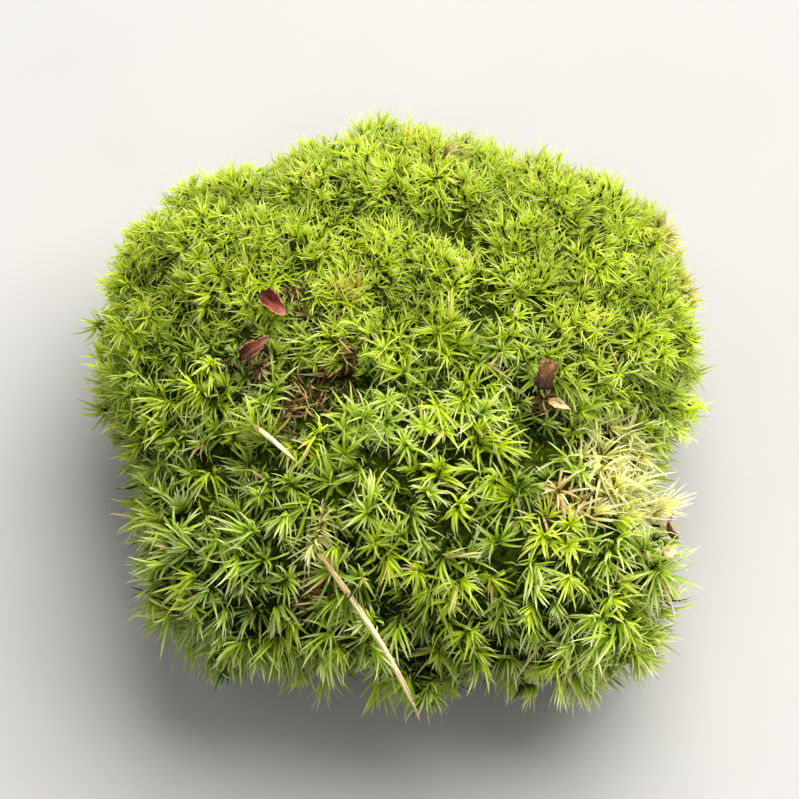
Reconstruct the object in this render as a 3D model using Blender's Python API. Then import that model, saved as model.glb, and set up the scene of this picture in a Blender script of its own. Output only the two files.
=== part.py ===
"""A clump of cushion moss, lifted with the mat of humus that it grew on and cut off flat there.

Runs in Blender 4.5: blender --background --python part.py
Metres, +Z up. The origin is the middle of the flat underside, and the side nearest to -Y is the front.
"""

import math
import random

import bmesh
import bpy
from mathutils import Matrix, Vector, geometry, noise
from mathutils.bvhtree import BVHTree

MM = 0.001

# Driving sizes of the whole clump.
WHOLE_HEIGHT = 56 * MM
PAD_HEIGHT = 14 * MM
WIDEST_HEIGHT = 25 * MM
LOBE_ALLOWANCE = 4.5 * MM
TOUCH_GAP = 0.3 * MM

# How far the cushion's leaf tips reach from the middle: (bearing in degrees from +X, reach in millimetres).
OUTLINE = [
    (0, 48.5), (14, 50), (28, 54), (40, 53.5), (52, 50.5), (64, 47), (70, 45), (78, 46), (90, 47),
    (104, 46), (120, 47), (138, 51.5), (152, 52), (164, 49.5), (178, 49), (190, 46), (202, 45.5),
    (214, 50), (226, 54.5), (236, 54.5), (248, 50), (261, 47.5), (275, 47.5), (288, 49.5), (300, 54),
    (312, 59.5), (321, 56), (330, 49.5), (341, 44.5), (350, 45.5),
]

# The dome between its outline and its crown: 2 would be an ellipse, and more is fuller in the shoulders.
# Its underside is this share as wide as its widest level, and its lobes fade out within FADE_HEIGHT of there.
DOME_POWER = 2.25
UNDERSIDE_SHARE = 0.92
FADE_HEIGHT = 8 * MM
HALVINGS = 26

# Lobes of the cushion as (x, y, radius, height), hollows with a height below zero, and the finer roughness as
# (size, height), all in millimetres.
LOBES = [
    (-24, 19, 13, 3.0),
    (-1, 34, 12, 2.6),
    (23, 22, 12, 3.4),
    (38, 4, 11, 2.8),
    (33, -34, 13, 4.2),
    (10, -38, 9, 2.4),
    (-6, -28, 13, 2.6),
    (-33, -29, 12, 2.4),
    (-38, 3, 12, 2.2),
    (5, 2, 14, 3.2),
]
HOLLOWS = [
    (-15, -4, 6.5, -4.0),
    (-12, -5.5, 4.0, -4.0),
    (-19, 5, 5.0, -4.0),
    (12.3, 8.2, 4.0, -5.0),
    (24, -15, 5.0, -6.0),
    (23.4, -8.6, 3.5, -3.0),
    (40, -14, 6.0, -1.6),
    (-13.5, -36.5, 4.5, -5.0),
    (12, 21, 6.0, -2.4),
    (-11, 12, 8.0, -1.6),
    (12.6, -24, 5.0, -3.5),
    (-30, -12, 8.0, -2.2),
]
ROUGHNESS = [(15, 1.0), (7, 0.5)]

# Tufts: each is a small star-shaped point of the cushion, with ridges that run out between deeper pits.
TUFT_SPACING = 4.0 * MM
TUFT_TRIES = 5000
LOWEST_TUFT = 2.2 * MM
RIM_TUFTS = 56
TUFT_TIP = 1.9 * MM
TUFT_RIDGE = -0.6 * MM
TUFT_PIT = -2.4 * MM
TUFT_SWAY = 0.8 * MM
TUFT_VARIETY = (0.6, 1.4)
SEED = 7

# The cushion's lower edge hangs a little below its underside, and folds back in under it.
FRINGE_DROOP = (0.5 * MM, 2.6 * MM)
FRINGE_FOLD = 2.4 * MM

# The mat below the cushion, with upright ridges where bundles of dead stems run down its side.
PAD_INSET = 4.6 * MM
PAD_UNDERCUT = 3.0 * MM
PAD_RIDGES = 40
PAD_GROOVES = (1.0 * MM, 2.6 * MM)
PAD_LEVELS = 5
PAD_WAVER = 0.25
PAD_LUMP = (5 * MM, 1.4 * MM)

# Loose pieces on the cushion: their middle as (x, y, turn in degrees), their sizes, and how far round a piece
# the cushion's slope is taken, in millimetres.
NEEDLES = {
    "dry_needle_long": {"place": (-3.8, -43, -51), "size": (35.5, 0.95), "bend": 4.6, "patch": 15},
    "dry_needle_short": {"place": (-19, -15.3, -47), "size": (10.5, 0.8), "bend": 0.5, "patch": 4},
}
NEEDLE_STATIONS = 12
NEEDLE_SIDES = 6
FLAKES = {
    "bud_scale_upper": {"place": (-19.5, 7.9, -41), "size": (5.8, 3.2), "colour": "bud red"},
    "bud_scale_lower": {"place": (-22.4, 1.1, 40), "size": (6.2, 2.6), "colour": "bud red"},
    "bark_flake_brown": {"place": (22.8, -2.8, 75), "size": (5.4, 3.4), "colour": "bark"},
    "husk_flake_pale": {"place": (25.4, -7.2, -20), "size": (3.8, 2.0), "colour": "husk"},
    "bark_flake_edge": {"place": (42, -21.5, 80), "size": (6.4, 4.2), "colour": "bud red"},
    "husk_flake_edge": {"place": (42, -30, 35), "size": (4.6, 2.4), "colour": "husk"},
}
FLAKE_PATCH = 9
FLAKE_SIDES = 14
FLAKE_THICKNESS = 0.7 * MM
FLAKE_CUP = 0.5 * MM
LAY_FROM = 25 * MM
LAY_STEP = 0.3 * MM
ROUGH_SURFACE = 0.75

COLOURS = {
    "moss green": (0.205, 0.285, 0.030),
    "humus brown": (0.060, 0.034, 0.017),
    "straw": (0.680, 0.540, 0.270),
    "bud red": (0.250, 0.075, 0.045),
    "bark": (0.180, 0.085, 0.040),
    "husk": (0.620, 0.470, 0.290),
}


def clear_scene():
    for thing in list(bpy.data.objects):
        bpy.data.objects.remove(thing, do_unlink=True)


def material(name):
    """A rough Principled material in one of the clump's colours."""
    made = bpy.data.materials.new(name)
    made.use_nodes = True
    shader = made.node_tree.nodes["Principled BSDF"]
    shader.inputs["Base Color"].default_value = (*COLOURS[name], 1.0)
    shader.inputs["Roughness"].default_value = ROUGH_SURFACE
    shader.inputs["Metallic"].default_value = 0.0
    return made


def add_object(name, mesh_source, colour):
    """Makes a scene object of a bmesh, with its faces turned outwards."""
    bmesh.ops.recalc_face_normals(mesh_source, faces=mesh_source.faces)
    mesh = bpy.data.meshes.new(name)
    mesh_source.to_mesh(mesh)
    mesh_source.free()
    thing = bpy.data.objects.new(name, mesh)
    bpy.context.scene.collection.objects.link(thing)
    mesh.materials.append(bpy.data.materials.get(colour) or material(colour))
    return thing


def outline_reach(bearing):
    """How far the smooth cushion reaches at a bearing in radians: a closed smooth curve through OUTLINE."""
    degrees = math.degrees(bearing) % 360.0
    count = len(OUTLINE)
    after = next((i for i, (angle, _) in enumerate(OUTLINE) if angle > degrees), count)
    start = OUTLINE[after - 1][0]
    end = OUTLINE[after % count][0] + (360 if after == count else 0)
    share = (degrees - start) / (end - start)
    before, first, second, last = (OUTLINE[(after + k) % count][1] for k in (-2, -1, 0, 1))
    cubic = 3 * (first - second) + last - before
    square = 2 * before - 5 * first + 4 * second - last
    curved = first + 0.5 * share * (second - before + share * (square + share * cubic))
    return curved * MM - 0.5 * TUFT_TIP


def inside_dome(point):
    """Whether a point is inside the plain dome, before its lobes."""
    above = point.z - WIDEST_HEIGHT
    if above > 0:
        rise = above / (WHOLE_HEIGHT - LOBE_ALLOWANCE - WIDEST_HEIGHT)
    else:
        depth = (1 - UNDERSIDE_SHARE**DOME_POWER) ** (1 / DOME_POWER)
        rise = -above / (WIDEST_HEIGHT - PAD_HEIGHT) * depth
    spread = math.hypot(point.x, point.y) / outline_reach(math.atan2(point.y, point.x))
    return spread**DOME_POWER + rise**DOME_POWER < 1


def lobe_relief(point):
    """How far the lobes, hollows and fine roughness push the dome out at a point."""
    relief = 0.0
    for x, y, radius, height in LOBES + HOLLOWS:
        away = math.hypot(point.x / MM - x, point.y / MM - y) / radius
        relief += height * math.exp(-away * away)
    for size, height in ROUGHNESS:
        relief += height * noise.noise(point / (size * MM))
    return relief * MM * min(1.0, (point.z - PAD_HEIGHT) / FADE_HEIGHT)


def on_cushion(direction):
    """The point of the smooth cushion in a direction from the middle of its flat underside."""
    middle = Vector((0, 0, PAD_HEIGHT))
    near, far = 0.0, 2 * max(reach for _, reach in OUTLINE) * MM
    for _ in range(HALVINGS):
        halfway = (near + far) / 2
        if inside_dome(middle + direction * halfway):
            near = halfway
        else:
            far = halfway
    point = middle + direction * near
    return point + direction * lobe_relief(point)


def flatten(direction):
    """A direction above the underside as a point of the unit disc, which keeps circles round."""
    return Vector((direction.x, direction.y)) / (1 + direction.z)


def tuft_directions():
    """Directions of the tufts, scattered over the smooth cushion and at least TUFT_SPACING apart."""
    dice = random.Random(SEED)
    directions, points = [], []
    for _ in range(TUFT_TRIES):
        height, turn = dice.random(), dice.uniform(0, 2 * math.pi)
        ring = math.sqrt(1 - height * height)
        direction = Vector((ring * math.cos(turn), ring * math.sin(turn), height))
        point = on_cushion(direction)
        alone = all((point - other).length > TUFT_SPACING for other in points)
        if alone and point.z > PAD_HEIGHT + LOWEST_TUFT:
            directions.append(direction)
            points.append(point)
    return directions


def moss_cushion():
    """The cushion: tufts joined to their neighbours, each triangle between three tufts split into six."""
    dice = random.Random(SEED + 1)
    tufts = tuft_directions()
    turns = [2 * math.pi * k / RIM_TUFTS for k in range(RIM_TUFTS)]
    rim = [Vector((math.cos(turn), math.sin(turn), 0)) for turn in turns]
    directions = tufts + rim
    joined = geometry.delaunay_2d_cdt([flatten(d) for d in directions], [], [], 0, 1e-7)
    names = [originals[0] for originals in joined[3]]

    shape = bmesh.new()
    relief = []
    made = {}

    def corner(key, height):
        """The point for a tuft, for the ridge between two or for the pit between three."""
        if key not in made:
            toward = sum((directions[k] for k in key), Vector()).normalized()
            made[key] = shape.verts.new(on_cushion(toward))
            at_rim = all(k >= len(tufts) for k in key)
            relief.append((made[key], 0.0 if at_rim else height * dice.uniform(*TUFT_VARIETY), len(key)))
        return made[key]

    for face in joined[2]:
        three = [names[k] for k in face]
        pit = corner(tuple(sorted(three)), TUFT_PIT)
        for k in range(3):
            this, other = three[k], three[(k + 1) % 3]
            ridge = corner(tuple(sorted((this, other))), TUFT_RIDGE)
            shape.faces.new((corner((this,), TUFT_TIP), ridge, pit))
            shape.faces.new((ridge, corner((other,), TUFT_TIP), pit))

    close_underside(shape, dice)
    bmesh.ops.recalc_face_normals(shape, faces=shape.faces)
    shape.normal_update()
    for point, height, corners in relief:
        point.co += point.normal * height
        if corners == 1 and height:
            point.co += Vector([dice.uniform(-1, 1) for _ in range(3)]) * TUFT_SWAY
    return add_object("moss_cushion", shape, "moss green")


def close_underside(shape, dice):
    """Droops the cushion's open rim, folds it in under itself and closes it with a flat underside."""
    folded = {}
    sides = [side.verts[:] for side in shape.edges if side.is_boundary]
    for point in dict.fromkeys(point for side in sides for point in side):
        inward = Vector((*point.co.xy, 0)).normalized() * FRINGE_FOLD
        folded[point] = shape.verts.new(point.co - inward)
        point.co.z -= dice.uniform(*FRINGE_DROOP)
    middle = shape.verts.new((0, 0, PAD_HEIGHT))
    for this, other in sides:
        shape.faces.new((this, other, folded[other], folded[this]))
        shape.faces.new((folded[this], folded[other], middle))


def pad_corner(level, number, groove):
    """One corner of the mat's wall, at a level up from the cut underside and a number of steps round."""
    height = (PAD_HEIGHT - TOUCH_GAP) * level / (PAD_LEVELS - 1)
    bearing = math.pi * (number + PAD_WAVER * math.sin(level + number)) / PAD_RIDGES
    outward = Vector((math.cos(bearing), math.sin(bearing), 0))
    undercut = PAD_UNDERCUT * (1 - height / PAD_HEIGHT) ** 2
    reach = on_cushion(outward).xy.length - PAD_INSET - undercut - groove
    corner = outward * reach + Vector((0, 0, height))
    size, amount = PAD_LUMP
    return corner + outward * amount * noise.noise(corner / size)


def humus_pad():
    """The mat under the cushion: an upright ridged wall between a flat cut underside and a flat top."""
    dice = random.Random(SEED + 2)
    around = 2 * PAD_RIDGES
    grooves = [dice.uniform(*PAD_GROOVES) if number % 2 else 0.0 for number in range(around)]
    shape = bmesh.new()
    rings = []
    for level in range(PAD_LEVELS):
        corners = [pad_corner(level, number, groove) for number, groove in enumerate(grooves)]
        rings.append([shape.verts.new(corner) for corner in corners])
    for lower, upper in zip(rings, rings[1:]):
        join_rings(shape, lower, upper)
    for ring in (rings[0], rings[-1]):
        middle = shape.verts.new((0, 0, ring[0].co.z))
        for this, after in zip(ring, ring[1:] + ring[:1]):
            shape.faces.new((this, after, middle))
    return add_object("humus_pad", shape, "humus brown")


def join_rings(shape, near, far):
    """A band of faces between two rings of points."""
    for k in range(len(near)):
        after = (k + 1) % len(near)
        shape.faces.new((near[k], near[after], far[after], far[k]))


def needle_shape(length, thickness, bend):
    """A dry needle along X: blunt at its base, pointed at its tip and bent down in an arc at both ends."""
    shape = bmesh.new()
    rings = []
    for station in range(NEEDLE_STATIONS + 1):
        along = station / NEEDLE_STATIONS
        girth = 0.5 * thickness * min(1.0, 0.55 + 3 * along) * (1 - 0.7 * along**5)
        middle = Vector((length * (along - 0.5), 0, -bend * (2 * along - 1) ** 2))
        ring = []
        for side in range(NEEDLE_SIDES):
            turn = 2 * math.pi * side / NEEDLE_SIDES
            ring.append(shape.verts.new(middle + girth * Vector((0, math.cos(turn), math.sin(turn)))))
        rings.append(ring)
    for near, far in zip(rings, rings[1:]):
        join_rings(shape, near, far)
    for ring in (rings[0], rings[-1]):
        bmesh.ops.triangulate(shape, faces=[shape.faces.new(ring)])
    return shape


def flake_ring(shape, length, width, share, side):
    """A ring of a flake's corners, at a share of the way from its middle to its rim."""
    ring = []
    for number in range(FLAKE_SIDES):
        turn = 2 * math.pi * number / FLAKE_SIDES
        across = share * math.sin(turn) * (0.75 - 0.4 * math.cos(turn))
        height = FLAKE_CUP * across * across + 0.5 * side * FLAKE_THICKNESS * (1 - share * share)
        ring.append(shape.verts.new((0.5 * length * share * math.cos(turn), 0.5 * width * across, height)))
    return ring


def flake_shape(length, width):
    """A cupped scale along X: blunt at its base, pointed at its tip and thickest in the middle."""
    shape = bmesh.new()
    rim = flake_ring(shape, length, width, 1.0, 0)
    for side in (1, -1):
        inner = flake_ring(shape, length, width, 0.6, side)
        join_rings(shape, inner, rim)
        middle = shape.verts.new((0, 0, 0.5 * side * FLAKE_THICKNESS))
        for this, after in zip(inner, inner[1:] + inner[:1]):
            shape.faces.new((this, after, middle))
    return shape


def local_lie(surface, x, y, patch):
    """A point of the cushion above a place in plan, and the smooth cushion's normal in a patch round it."""
    point = surface.ray_cast(Vector((x, y, 2 * WHOLE_HEIGHT)), Vector((0, 0, -1)))[0]
    toward = point - Vector((0, 0, PAD_HEIGHT))
    across = toward.orthogonal().normalized() * patch
    along = toward.cross(across).normalized() * patch
    sides = [on_cushion((toward + step).normalized()) for step in (across, -across, along, -along)]
    normal = (sides[0] - sides[1]).cross(sides[2] - sides[3]).normalized()
    return point, normal if normal.dot(toward) > 0 else -normal


def lay_on_cushion(name, shape, place, patch, colour, cushion, surface):
    """Lays a loose piece on the tufts, TOUCH_GAP clear of the nearest. A needle's bend stays upright."""
    x, y, turn = place
    point, up = local_lie(surface, x * MM, y * MM, patch * MM)
    heading = Vector((math.cos(math.radians(turn)), math.sin(math.radians(turn)), 0))
    along = (heading - Vector((0, 0, heading.dot(up) / up.z))).normalized()
    if name in NEEDLES:
        up = (Vector((0, 0, 1)) - along * along.z).normalized()
    frame = Matrix((along, up.cross(along), up)).transposed().to_4x4()
    shape.transform(Matrix.Translation(point + up * LAY_FROM) @ frame)
    gaps = gaps_below(shape, surface, up) + gaps_above(cushion, shape, point, up)
    shape.transform(Matrix.Translation(-up * (min(gaps) - TOUCH_GAP)))
    return add_object(name, shape, colour)


def gaps_below(shape, surface, up):
    """How far the cushion is below spots along the edges of a piece."""
    gaps = []
    for edge in shape.edges:
        steps = math.ceil(edge.calc_length() / LAY_STEP)
        for step in range(steps + 1):
            spot = edge.verts[0].co.lerp(edge.verts[1].co, step / steps)
            hit = surface.ray_cast(spot, -up)
            gaps += [hit[3]] if hit[0] else []
    return gaps


def gaps_above(cushion, shape, point, up):
    """How far a piece is above the cushion's own corners near a point."""
    surface = BVHTree.FromBMesh(shape)
    near = [corner.co for corner in cushion.data.vertices if (corner.co - point).length < LAY_FROM]
    hits = [surface.ray_cast(corner, up) for corner in near]
    return [hit[3] for hit in hits if hit[0]]


def loose_pieces(cushion):
    """The dry needles, bud scales and flakes that lie on the cushion."""
    source = bmesh.new()
    source.from_mesh(cushion.data)
    surface = BVHTree.FromBMesh(source)
    source.free()
    for name, needle in NEEDLES.items():
        length, thickness = needle["size"]
        shape = needle_shape(length * MM, thickness * MM, needle["bend"] * MM)
        lay_on_cushion(name, shape, needle["place"], needle["patch"], "straw", cushion, surface)
    for name, flake in FLAKES.items():
        length, width = flake["size"]
        shape = flake_shape(length * MM, width * MM)
        lay_on_cushion(name, shape, flake["place"], FLAKE_PATCH, flake["colour"], cushion, surface)


clear_scene()
grown_cushion = moss_cushion()
humus_pad()
loose_pieces(grown_cushion)
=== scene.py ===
"""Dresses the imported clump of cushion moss: living shoots with their leaves, old growth, humus and litter.

Runs in Blender 4.5. The numbers in the tables below are millimetres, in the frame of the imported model: the
origin is the middle of the flat underside, +Z is up and the front is -Y.
"""

import math

import bmesh
import bpy
import numpy as np
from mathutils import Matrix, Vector, noise
from mathutils.bvhtree import BVHTree


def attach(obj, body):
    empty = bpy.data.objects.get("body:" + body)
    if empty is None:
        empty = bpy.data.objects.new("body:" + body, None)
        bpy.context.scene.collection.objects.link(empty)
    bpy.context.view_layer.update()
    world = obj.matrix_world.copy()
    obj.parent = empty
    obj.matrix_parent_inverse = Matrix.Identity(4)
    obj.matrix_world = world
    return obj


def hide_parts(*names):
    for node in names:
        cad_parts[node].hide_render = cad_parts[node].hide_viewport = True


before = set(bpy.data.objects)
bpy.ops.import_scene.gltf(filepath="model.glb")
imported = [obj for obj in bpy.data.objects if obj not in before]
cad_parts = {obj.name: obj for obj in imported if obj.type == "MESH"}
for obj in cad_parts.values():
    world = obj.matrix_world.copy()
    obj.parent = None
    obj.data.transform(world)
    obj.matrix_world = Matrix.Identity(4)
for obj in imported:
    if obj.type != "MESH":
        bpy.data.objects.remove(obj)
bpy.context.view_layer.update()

MM = 0.001
SEED = 11
UP = np.array([0.0, 0.0, 1.0])

# The cushion's form is read off its CAD solid, seen from the middle of the flat top of the humus mat.
PAD_HEIGHT = 14.0
FORM_BLUR = 2.6
INNER_REACH = 30.0
FORM_STEP = 0.03
CHUNK = 1500

# Living shoots are fine over the crown and the back, and coarse over the front. Pairs are (fine, coarse): how
# close they stand, how many leaves they have, and how long and wide their leaves are.
COARSE_FROM_Y = (20.0, -26.0)
SHOOT_SPACING = (1.85, 3.7)
LEAF_COUNT = (48, 57)
LEAF_LENGTH = (4.1, 6.4)
LEAF_WIDTH = (0.37, 0.55)
SHOOT_TRIES = 32000
LOWEST_SHOOT = -0.06

# How long the leafy part of a shoot is, how far below the form it ends, and how large and how open it is.
SHOOT_LENGTH = 8.5
SHOOT_SINK = (-0.3, 0.9)
SHOOT_VARIETY = 0.9
VARIETY_SHARE = (0.6, 1.0)
SMALLEST_SHOOT = (0.75, 0.63)
LARGEST_SHOOT = (1.2, 1.25)
PALE_SIZE = 1.25
OPENNESS = (0.85, 0.9)
OPEN_VARIETY = 0.15
STEM_GIRTH = 0.2
STEM_REACH = (0.03, 1.25)

# Shoots in gaps are sunken, darker with painted shade, and smaller: by how much, and from and up to which
# # nearness to the gap.
GAP_DEPTH = 2.6
GAP_SINKS = (0.25, 0.6)
GAP_PAINTED_SHADE = 0.8
GAP_DARKENS = (0.2, 0.6)
GAP_ROOM = 0.45
GAP_SHRINKS = (0.1, 0.5)
IN_GAP = 0.5

# Shoots near a loose piece rise or sink, within limits, to meet it with their leaves, which reach so far over
# their tips. Those beside a flake, as (how far, reach), meet its rim. FLAKE_ROOM is how near to a flake
# shoots are smaller, and by what share.
CARRY_REACH = 4.0
CARRY_LEAVES = 1.1
CARRY_BESIDE = (1.2, 0.2)
CARRY_LIMITS = (-3.0, 1.2)
CARRY_STRIP = 0.6
FLAKE_ROOM = (5.0, 0.25)
FLAKE_MARGIN = 0.25
WHOLE_WITHIN = 0.4

# Shoots rise a little, lean in groups, as (size, amount), and splay from the middle of small mounds. Their
# leaves are combed, as (size, together, alone), and long ones run downhill, from their base on by the sweep.
RISE_SHARE = 0.36
LEAN = (9.0, 0.38)
SWAY = (0.28, 0.5)
ROOT_SWAY = 0.15
COMB = (6.0, 1.5, 0.42)
FLOW = 1.2
SWEEP = 0.35
MOUND_TRIES = 4000
MOUND_SPACING = 9.0
MOUND_SPLAY = 0.1
MOUND_RISE = 0.5
MOUND_DROP = 0.075
# Painted shade: shoots darken down a mound's sides, by this much for each square millimetre from its middle.
MOUND_PAINTED_SHADE = 0.014

# Tone, from 0, dark, to 1, bright: its mean, patches as (size, amount), each shoot's own, and its rise to the
# # back for each millimetre, which is painted light on the side towards the key light.
TONE = 0.74
TONE_PATCHES = (7.0, 0.45)
TONE_OWN = (0.2, 0.27)
PAINTED_LIGHT_TO_BACK = 0.003

# A leaf is a folded blade with three corners at each station from its base to its tip, and one at the tip.
# Long leaves are those of the coarse shoots.
LONG_LEAF = {"stations": np.array([0.0, 0.26, 0.52, 0.78, 1.0]), "shape": (0.8, 1.0, 0.9, 0.6)}
SHORT_LEAF = {"stations": np.array([0.0, 0.5, 1.0]), "shape": (0.85, 0.9)}
LONG_FROM = 0.35
LEAF_FOLD = 0.5
LEAF_LANES = (0.12, 0.5, 0.88)
GOLDEN_TURN = math.radians(137.508)

# Leaves down a shoot, from 0, its tip, to 1, its foot. Those of the bud are small. LEAF_SPREAD is their angle
# to the stem at the tip, and how much it grows over the upper and over the lower half.
BUD_END = 0.22
BUD_LENGTH = 0.45
BUD_WIDTH = 0.6
LEAF_SPREAD = (0.14, 1.05, 0.4)
LEAF_RUN = (0.12, 0.88, 1.25)
LEAF_SIZES = (0.5, 1.25)
FOOT_SHRINKS = (0.3, 0.5, 0.8)
LEAF_BEND = (0.36, 1.11)
LEAF_DROOP = (0.10, 0.95)
VARIETY = {"turn": 0.6, "tilt": 0.24, "bend": 0.34, "curl": 0.36, "roll": 0.25, "tone": 0.12}
WIDTHS = (0.85, 1.15)

# Down to where a shoot's leaves are young, from where they are old, how many are dead, more in withered
# # patches, and how much painted shade darkens them towards the foot, deeper in the cushion.
YOUNG_TO = (0.16, 0.05)
OLD_FROM = (0.4, 0.8)
OLD_LATER = 0.35
DEAD_SHARE = 0.03
DEAD_BELOW = 0.5
WITHERED_MORE = 1.5
WITHERED_SIZE = 6.0
WITHERED_SHIFT = 80
FOOT_PAINTED_SHADE = (0.12, 0.55)
FOOT_DARKENS = (0.3, 0.8)

# Kinds of leaf: the rows of the palette that each has, how bright its first and its last row are, and the
# colours (0 to 255) of a leaf's base, middle and tip.
ROWS = 64
KINDS = {
    "old": ((0, 7), (0.4, 1.1), ((40, 52, 4), (72, 98, 10), (102, 130, 26))),
    "green": ((8, 24), (0.61, 1.13), ((148, 172, 6), (192, 216, 26), (222, 234, 130))),
    # Silver leaves: their near-white tips are partly real pale tips and partly painted glints.
    "silver": ((25, 35), (0.56, 1.16), ((112, 146, 12), (179, 209, 56), (237, 245, 170))),
    "young": ((36, 41), (0.75, 1.12), ((166, 190, 20), (203, 221, 46), (226, 235, 126))),
    "pale": ((42, 46), (0.85, 1.1), ((206, 198, 92), (240, 238, 150), (252, 250, 206))),
    "yellow": ((47, 49), (0.8, 1.1), ((176, 152, 36), (214, 204, 62), (232, 228, 120))),
    "tan": ((50, 54), (0.7, 1.1), ((146, 110, 58), (214, 184, 118), (242, 226, 168))),
    "brown": ((55, 60), (0.8, 1.3), ((66, 42, 20), (118, 78, 40), (160, 120, 70))),
    "stem": ((61, 63), (0.7, 1.2), ((44, 34, 16), (66, 52, 24), (90, 78, 36))),
}
LIVING = ("green", "young", "silver")
SILVER_GLINT_FROM = (0.2, 1.7)

# Painted shade tint: darker leaves are made greener, the colour of leaves in shade, as powers of how bright
# # they are in red, green and blue.
PAINTED_SHADE_TINT = np.array([1.15, 1.0, 1.15])
LEAF_ROUGHNESS = 0.42
LEAF_SPECULAR = 0.24
LEAF_GLOW = 0.48

# The leaves of a dying shoot are of several kinds.
MIXED = {
    "brown": {"brown": 0.5, "tan": 0.25, "old": 0.25},
    "tan": {"tan": 0.6, "pale": 0.25, "brown": 0.15},
    "yellow": {"yellow": 0.5, "green": 0.3, "tan": 0.2},
}

# Where shoots differ, as (x, y, radius): their kind, how much brighter they are, and gaps.
SPOTS = {
    "silver": [(-3.5, -19.4, 5), (-22.5, -20.7, 6), (-18, -31, 8), (2, -12, 7), (31, -46, 5)],
    "young": [(22, 36, 6), (27, -12, 3), (26, -24, 5), (30, 6, 7), (-5, 20, 8), (-16.5, -42, 2.5),
              (-25, 12, 6), (2, 38, 5), (31, 31, 4), (37, -36, 4), (27, -31, 4)],
    "pale": [(35.5, -12.5, 4.6), (39, -18, 4.4), (34, -24, 2.6), (-13.5, -29.5, 1.8), (-45.5, -23, 1.8)],
    "yellow": [(43, 27, 3.6), (47, 18, 2.4), (1.5, 40, 2), (-7, 11, 2)],
    "tan": [(28.5, -22, 4), (32, -18.5, 2.6), (8.5, 37, 2.2), (-45.5, -20.5, 2.2)],
    "brown": [(31, -16.5, 1.8), (-14, -5, 3.6), (-13.5, -37, 2.6), (24, -6, 2), (-22.5, 0, 3.8),
              (-26.5, -1, 2.6), (-18, -10, 2), (-8, -1.5, 1.8)],
}
SPOT_EDGES = {"silver": (0.3, 0.8), "young": (0.3, 0.8), "pale": (0.2, 0.5), "yellow": (0.4, 0.8),
              "tan": (0.3, 0.6), "brown": (0.3, 0.7)}
# Painted light and shade, as (x, y, radius, change): painted light where shoots are brighter, on the crown,
# the right, the centre and the front right, and painted shade where they are darker, in hollows and on the
# left and front left.
PAINTED_LIGHT_AND_SHADE = [(-38, -16, 13, -0.4), (24, -15, 4.5, -0.4), (13.8, 6.5, 4.8, -0.75), (-24, -42, 10, -0.1),
          (-44, -2, 8, -0.4), (-18, 2, 5.5, -0.45), (-22, -5, 4, -0.3), (-6, -6, 3.4, -0.4),
          (33, -37, 14, 0.8), (4, -11, 11, 0.7), (0, 25, 22, 0.14), (34, 8, 14, 0.2),
          (-28, 14, 13, 0.04)]
GAPS = [(23, -16.2, 3), (-13.7, -5.5, 4), (-5.5, -6.5, 2.6), (13.4, 6.8, 3.8), (24.8, -8.5, 3),
        (12.6, -23.9, 2.2), (-16, 12.5, 2.4), (-15.8, 8, 2.6), (-24, -1.5, 3.6), (-18.3, -10.7, 3.2),
        (-13.5, -36, 2.8)]

# Dead leaves lie loose in gaps, as (x, y, radius), this deep below the form. Old leaves stand up from the old
# growth under all shoots, thicker in gaps and under coarse ones. Their spreads are (mean, spread).
LITTER = [(-14, -5, 4.6), (-23, -1, 4.6), (-16, 9.5, 3.6), (25, -8.5, 3.4), (-13.5, -36.5, 3.4),
          (-18.5, -11, 3), (31, -17, 2.4)]
LITTER_TRIES = 60000
LITTER_EDGE = (0.3, 1.0)
LITTER_DEPTH = (0.8, 3.8)
LITTER_KINDS = {"brown": 0.5, "tan": 0.22, "old": 0.28}
LOOSE_LENGTH = (1.8, 4.0)
LOOSE_WIDTH = (0.3, 0.55)
LOOSE_WANDER = 0.3
LOOSE_SPREADS = {"tilt": (0.1, 0.2), "bend": (-0.2, 0.4), "curl": (0, 0.6), "roll": (0, 0.7)}
UNDER_LEAVES = 8000
UNDER_IN_GAPS = 8.0
UNDER_COARSE = 0.7
UNDER_RISE = (-0.2, 1.4)
UNDER_STANDING = 0.8
UNDER_OLD = (0.3, 0.8)
UNDER_TONES = (0.1, 0.9)
# Painted shade: old leaves under coarse shoots are this much darker.
UNDER_PAINTED_SHADE = 0.3
OLD_DEPTH = (4.0, 6.2)
OLD_LUMPS = ((2.2, 0.9), (6.0, 0.8))
OLD_GRID = (120, 39)

# The mat of humus: how finely its wall is read, its lumps as (size, amount), and its strands as (count, drop,
# wander, girth, proud, kind).
MAT_MARGIN = 0.3
MAT_RINGS = 15
MAT_AROUND = 240
MAT_LUMPS = ((1.1, 0.7), (3.0, 0.9))
MAT_SINK = 0.5
MAT_CUT_RINGS = (0.15, 0.3, 0.45, 0.6, 0.75, 0.87, 0.96)
MAT_CUT_RELIEF = 0.35
MAT_STRAND_POINTS = 9
STRAND_TOPS = (0.25, 1.0)
STRAND_THINS = 0.45
MAT_STRANDS = [
    (420, 12.0, 0.012, 0.24, 0.5, "stem"),
    (260, 9.0, 0.03, 0.14, 0.8, "brown"),
    (420, 5.0, 0.045, 0.08, 0.9, "brown"),
]
MAT_LEAVES = 2400
MAT_LEAF_LENGTH = (1.5, 4.0)
MAT_LEAF_WIDTH = (0.3, 0.45)
MAT_LEAF_TILT = (0.1, 0.8)
MAT_LEAF_SPREADS = {"bend": (-0.3, 0.3), "curl": (0, 0.5), "roll": (0, 0.6)}
BROWN_SHARE = 0.6
CRUMBS = 170
CRUMB_SIZES = (0.5, 1.8)
CRUMB_LUMPS = (0.65, 1.25)
CRUMB_FLATNESS = (0.55, 1.0)
CUT_FIBRES = 260
CUT_FIBRE_POINTS = 6
CUT_FIBRE_LENGTH = (1.5, 6.0)
CUT_FIBRE_GIRTH = (0.08, 0.2)

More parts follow.
